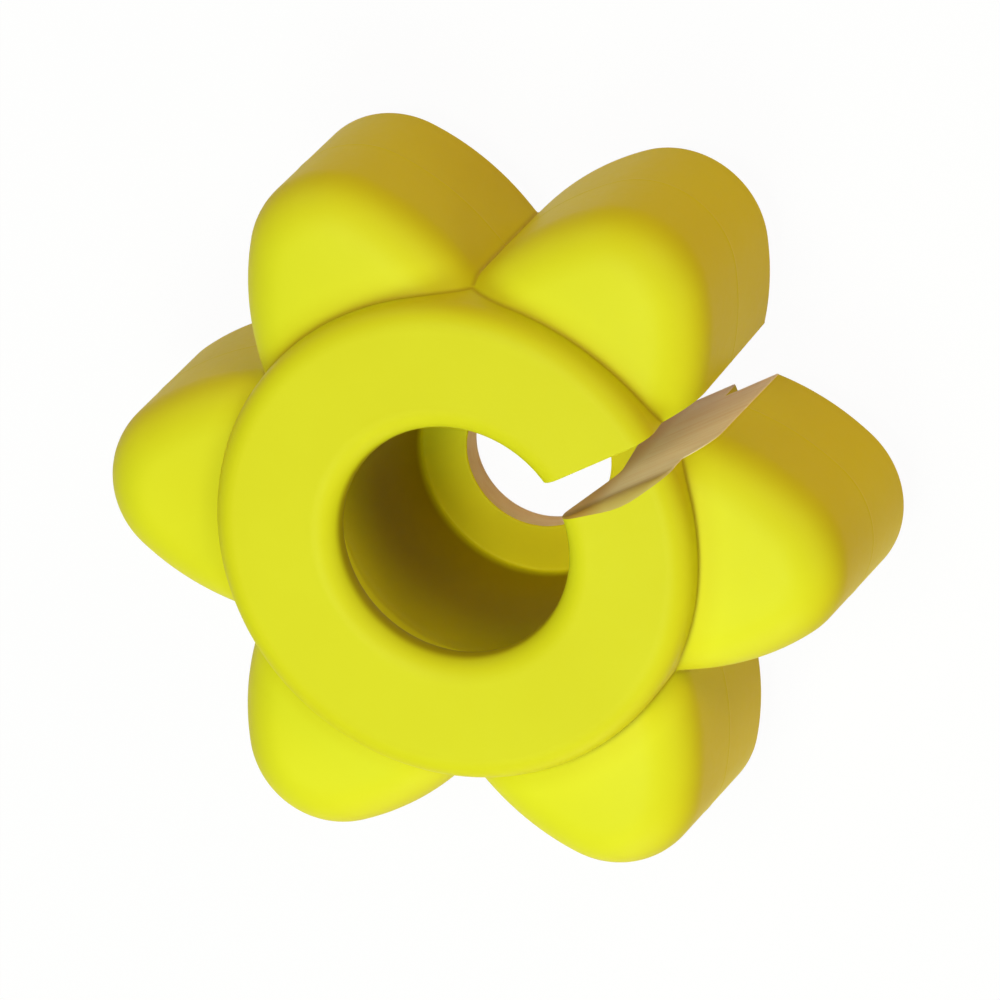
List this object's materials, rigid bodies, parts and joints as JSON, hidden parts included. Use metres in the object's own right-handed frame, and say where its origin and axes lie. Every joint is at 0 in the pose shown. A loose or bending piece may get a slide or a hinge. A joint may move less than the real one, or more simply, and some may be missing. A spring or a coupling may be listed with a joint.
{
  "type": "jaw coupling spider",
  "caption": "Flexible split spider of a jaw coupling: domed elastomer lobes round a thick ring with a stepped bore and one slot through the ring.",
  "frame": {"origin": "on the bore axis, in the plane of the rear boss face, which is the lowest face", "axes": "+Z along the coupling axis, from the rear boss towards the ring face; the slot through the ring faces -Y; +X is to the right seen from the ring face with the slot at the bottom"},
  "size_m": [0.1, 0.0898, 0.0394],
  "materials": {
    "elastomer": "satin"
  },
  "bodies": {
    "lobe_1": {"lobe_1": "elastomer"},
    "lobe_2": {"lobe_2": "elastomer"},
    "lobe_3": {"lobe_3": "elastomer"},
    "lobe_4": {"lobe_4": "elastomer"},
    "lobe_5": {"lobe_5": "elastomer"},
    "lobe_6": {"lobe_6": "elastomer"}
  },
  "joints": [
    {"name": "web_opposite_slot", "type": "hinge", "parent": "lobe_3", "child": "lobe_4", "pos_m": [0, 0.0336, 0.0197], "axis": [0, 0, -1], "range_deg": [0, 12], "stiffness_Nm_per_rad": 20},
    {"name": "web_left_side", "type": "hinge", "parent": "lobe_4", "child": "lobe_5", "pos_m": [-0.0291, 0.0168, 0.0197], "axis": [0, 0, -1], "range_deg": [0, 9], "stiffness_Nm_per_rad": 20},
    {"name": "web_left_of_slot", "type": "hinge", "parent": "lobe_5", "child": "lobe_6", "pos_m": [-0.0291, -0.0168, 0.0197], "axis": [0, 0, -1], "range_deg": [0, 3], "stiffness_Nm_per_rad": 20},
    {"name": "web_right_side", "type": "hinge", "parent": "lobe_3", "child": "lobe_2", "pos_m": [0.0291, 0.0168, 0.0197], "axis": [0, 0, 1], "range_deg": [0, 9], "stiffness_Nm_per_rad": 20},
    {"name": "web_right_of_slot", "type": "hinge", "parent": "lobe_2", "child": "lobe_1", "pos_m": [0.0291, -0.0168, 0.0197], "axis": [0, 0, 1], "range_deg": [0, 3], "stiffness_Nm_per_rad": 20}
  ],
  "couplings": [
    {"joint": "web_left_side", "follows": "web_opposite_slot", "ratio": 0.75},
    {"joint": "web_left_of_slot", "follows": "web_opposite_slot", "ratio": 0.25},
    {"joint": "web_right_side", "follows": "web_opposite_slot", "ratio": 0.75},
    {"joint": "web_right_of_slot", "follows": "web_opposite_slot", "ratio": 0.25}
  ]
}
